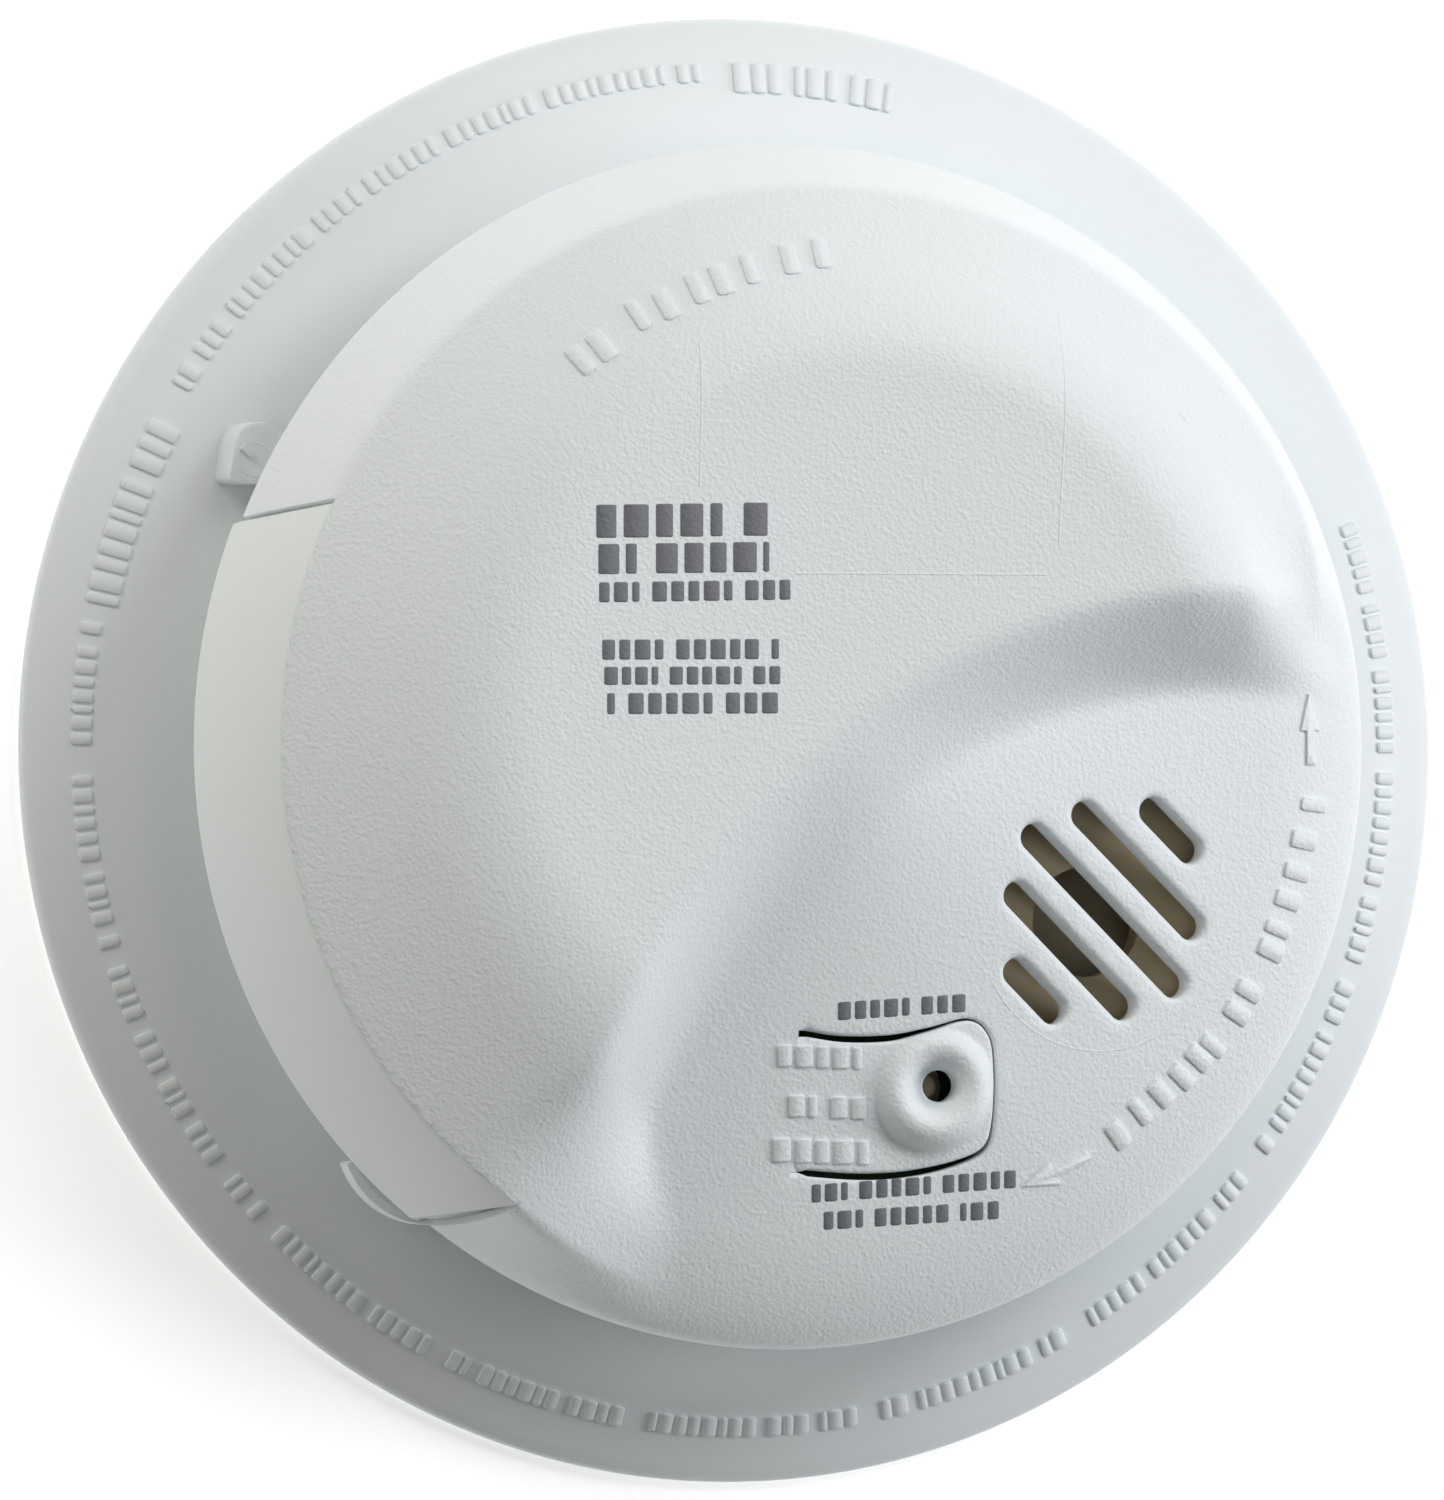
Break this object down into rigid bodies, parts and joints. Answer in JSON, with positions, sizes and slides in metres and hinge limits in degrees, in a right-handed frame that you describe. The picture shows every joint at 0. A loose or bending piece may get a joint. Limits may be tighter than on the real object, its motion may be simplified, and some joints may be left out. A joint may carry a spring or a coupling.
{
  "type": "carbon monoxide alarm",
  "caption": "Round ceiling or wall carbon monoxide alarm: wide flange, domed cover with a scooped face, side battery drawer, sound slots and a press-to-test flap.",
  "frame": {"origin": "centre of the mounting bracket's flat back face, on the alarm's axis", "axes": "+Z out of the front, along the twist axis; +X towards the sound slots' side and +Y away from the test button, as a reader faces the front"},
  "size_m": [0.142, 0.142, 0.043],
  "materials": {
    "white_housing": "fine moulded grain, matte",
    "white_door": "smooth moulded, satin matte",
    "white_bracket": "smooth moulded, matte",
    "tan_plastic": "smooth moulded, matte",
    "board_green": "solder-masked glass laminate, satin",
    "black_plastic": "moulded, satin",
    "battery_jacket": "printed metal jacket, gloss",
    "yellow_film": "moulded box, satin",
    "blue_sleeve": "shrunk sleeve, gloss",
    "clear_plastic": "clear, polished",
    "red_lens": "tinted clear, gloss",
    "grey_foam": "open foam, matte",
    "ceramic": "fired ceramic, matte",
    "plated_steel": "zinc plated, satin",
    "brass": "rolled, satin",
    "tin_plate": "tinned, satin"
  },
  "bodies": {
    "bracket": {"mounting_bracket": "white_bracket"},
    "alarm": {"base_housing": "white_housing", "front_cover": "white_housing", "drawer_hinge_pin": "plated_steel", "contact_holder": "tan_plastic", "battery_contact_positive": "tin_plate", "battery_contact_negative": "tin_plate", "switch_body": "black_plastic", "horn_housing": "tan_plastic", "piezo_support_ring": "tan_plastic", "piezo_disc": "brass", "piezo_ceramic": "ceramic", "gas_sensor_can": "plated_steel", "gas_sensor_cap": "black_plastic", "gas_sensor_gasket": "grey_foam", "circuit_board": "board_green", "microcontroller": "black_plastic", "rectifier": "black_plastic", "film_capacitor": "yellow_film", "reservoir_capacitor": "blue_sleeve", "smoothing_capacitor": "blue_sleeve", "varistor": "blue_sleeve", "horn_inductor": "black_plastic", "dropper_resistor": "ceramic", "indicator_lamp": "red_lens", "light_pipe": "clear_plastic", "power_inlet": "black_plastic", "inlet_pin_live": "brass", "inlet_pin_interconnect": "brass", "inlet_pin_neutral": "brass", "case_screw_1": "plated_steel", "case_screw_2": "plated_steel", "case_screw_3": "plated_steel", "case_screw_4": "plated_steel"},
    "drawer": {"battery_drawer": "white_door", "battery_case": "battery_jacket", "battery_positive_terminal": "tin_plate", "battery_negative_terminal": "tin_plate"},
    "test_button": {"test_button": "white_housing"},
    "switch_plunger": {"switch_plunger": "black_plastic"}
  },
  "joints": [
    {"name": "alarm_twist", "type": "hinge", "parent": "bracket", "child": "alarm", "pos_m": [0, 0, 0], "axis": [0, 0, 1], "range_deg": [0, 15]},
    {"name": "drawer_swing", "type": "hinge", "parent": "alarm", "child": "drawer", "pos_m": [-0.035, -0.0374, 0], "axis": [0, 0, 1], "range_deg": [0, 45]},
    {"name": "button_press", "type": "hinge", "parent": "alarm", "child": "test_button", "pos_m": [-0.001, -0.035, 0.0285], "axis": [0, 1, 0], "range_deg": [0, 4], "stiffness_Nm_per_rad": 0.8},
    {"name": "plunger_travel", "type": "slide", "parent": "alarm", "child": "switch_plunger", "axis": [0, 0, -1], "range_m": [0, 0.00045]}
  ],
  "couplings": [
    {"joint": "plunger_travel", "follows": "button_press", "m_per_rad": 0.006}
  ]
}
